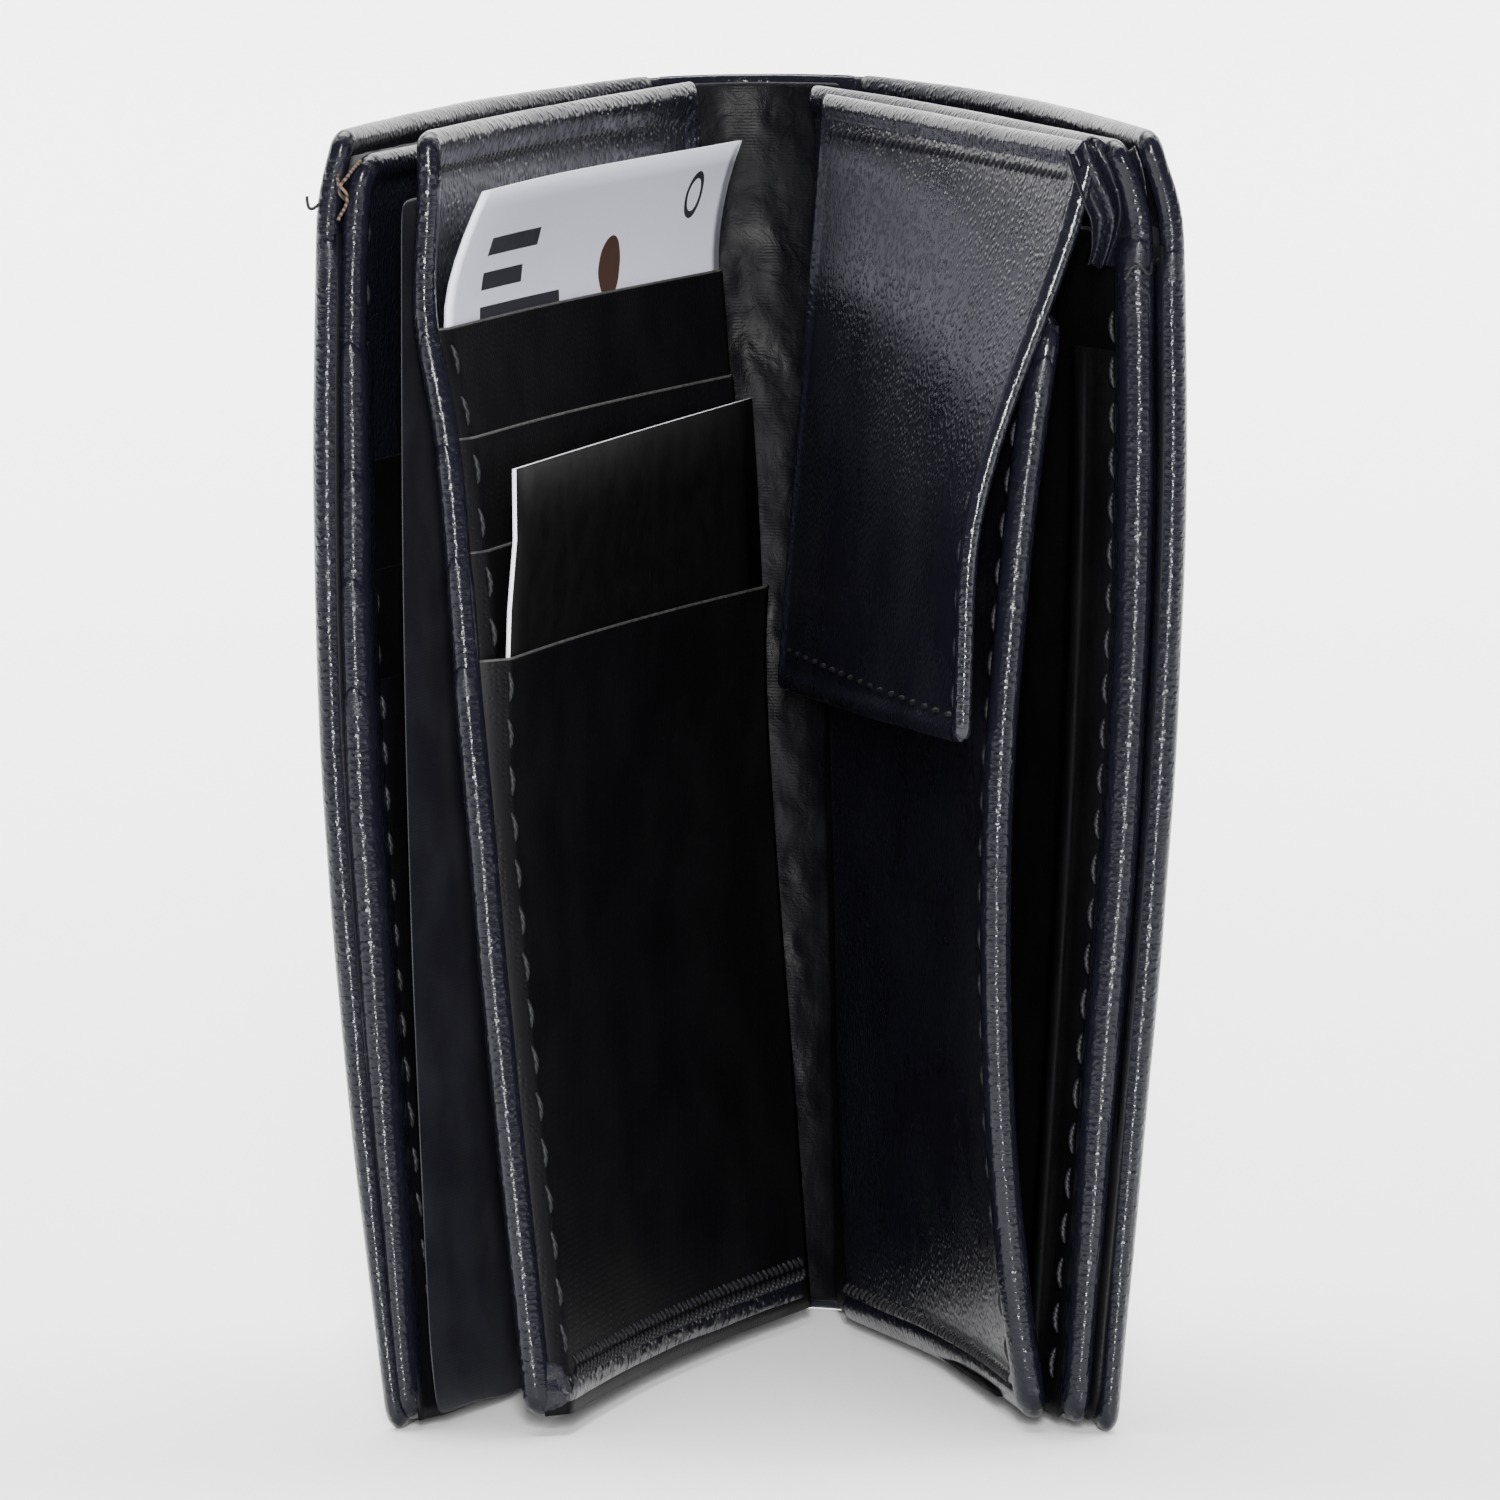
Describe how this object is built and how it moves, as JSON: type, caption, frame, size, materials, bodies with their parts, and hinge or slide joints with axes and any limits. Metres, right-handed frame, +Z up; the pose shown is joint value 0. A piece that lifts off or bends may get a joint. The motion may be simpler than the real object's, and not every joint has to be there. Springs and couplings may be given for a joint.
{
  "type": "upright leather wallet with a turning card leaf",
  "caption": "Upright leather wallet standing ajar: two covers on a soft spine, a turning card leaf, card slots, note pockets and a flap coin pocket.",
  "frame": {"origin": "middle of the object's box, on the surface that the wallet stands on", "axes": "+Z up along the spine; the spine is at +Y and the opening faces -Y; the card leaf's half is at -X"},
  "size_m": [0.083, 0.0997, 0.125],
  "materials": {
    "black_leather": "pebbled semi-gloss full-grain leather, near black",
    "shielding_foil": "thin metallised foil, sealed between the cover and its lining",
    "black_lining": "fine woven polyester lining",
    "black_nylon": "smooth coated nylon sheet",
    "snap_metal": "small nickel-plated press stud",
    "insert_paper": "matt white coated card stock",
    "card_black": "satin black plastic card with a pale edge"
  },
  "bodies": {
    "spine": {"spine_leather": "black_leather", "spine_lining": "black_lining"},
    "left_cover": {"left_cover_leather": "black_leather", "left_shielding_foil": "shielding_foil", "left_cover_lining": "black_lining", "left_slip_pocket": "black_leather", "left_panel_base": "black_leather", "left_panel_slot_1": "black_leather", "left_panel_slot_2": "black_leather", "left_panel_slot_3": "black_leather", "left_panel_slot_4": "black_leather"},
    "divider": {"nylon_divider": "black_nylon"},
    "leaf": {"leaf_back": "black_leather", "leaf_face": "black_leather", "leaf_slot_1": "black_leather", "leaf_slot_2": "black_leather", "leaf_slot_3": "black_leather", "leaf_slot_4": "black_leather"},
    "insert": {"paper_insert": "insert_paper"},
    "card": {"black_card": "card_black"},
    "right_cover": {"right_cover_leather": "black_leather", "right_shielding_foil": "shielding_foil", "right_cover_lining": "black_lining", "right_slip_pocket": "black_leather", "right_panel_base": "black_leather", "right_panel_pocket": "black_leather", "coin_pocket_fore_gusset": "black_nylon", "coin_pocket_bottom_gusset": "black_nylon"},
    "coin_front": {"coin_pocket_lining": "black_lining", "coin_pocket_front": "black_leather", "coin_pocket_front_strip": "black_leather", "snap_stud": "snap_metal"},
    "coin_flap": {"flap_leather": "black_leather", "flap_lining": "black_lining", "snap_socket": "snap_metal"}
  },
  "joints": [
    {"name": "left_fold", "type": "hinge", "parent": "spine", "child": "left_cover", "pos_m": [-0.004, 0.0425, 0], "axis": [0.0526, -0.0186, -0.9984], "range_deg": [-9, 70]},
    {"name": "right_fold", "type": "hinge", "parent": "spine", "child": "right_cover", "pos_m": [0.0125, 0.0425, 0], "axis": [0.0336, 0.0093, 0.9994], "range_deg": [-6, 74]},
    {"name": "divider_hinge", "type": "hinge", "parent": "left_cover", "child": "divider", "pos_m": [-0.00345, 0.02745, 0.00031], "axis": [-0.0526, 0.0186, 0.9984], "range_deg": [-0.3, 1]},
    {"name": "leaf_hinge", "type": "hinge", "parent": "left_cover", "child": "leaf", "pos_m": [0.00309, 0.03681, 0.00048], "axis": [-0.0772, 0.0274, 0.9966], "range_deg": [-0.3, 20]},
    {"name": "insert_slide", "type": "slide", "parent": "leaf", "child": "insert", "axis": [-0.0772, 0.0274, 0.9966], "range_m": [0, 0.045]},
    {"name": "card_slide", "type": "slide", "parent": "leaf", "child": "card", "axis": [-0.0772, 0.0274, 0.9966], "range_m": [0, 0.06]},
    {"name": "coin_front_hinge", "type": "hinge", "parent": "right_cover", "child": "coin_front", "pos_m": [0.01095, 0.03014, 0.00017], "axis": [-0.0336, -0.0093, -0.9994], "range_deg": [-0.1, 1.1]},
    {"name": "flap_hinge", "type": "hinge", "parent": "right_cover", "child": "coin_flap", "pos_m": [0.01216, 0.0424, 0.12159], "axis": [-0.2672, 0.9636, 0], "range_deg": [-0.4, 4.4]}
  ],
  "couplings": [
    {"joint": "coin_front_hinge", "follows": "flap_hinge", "ratio": 0.25}
  ]
}
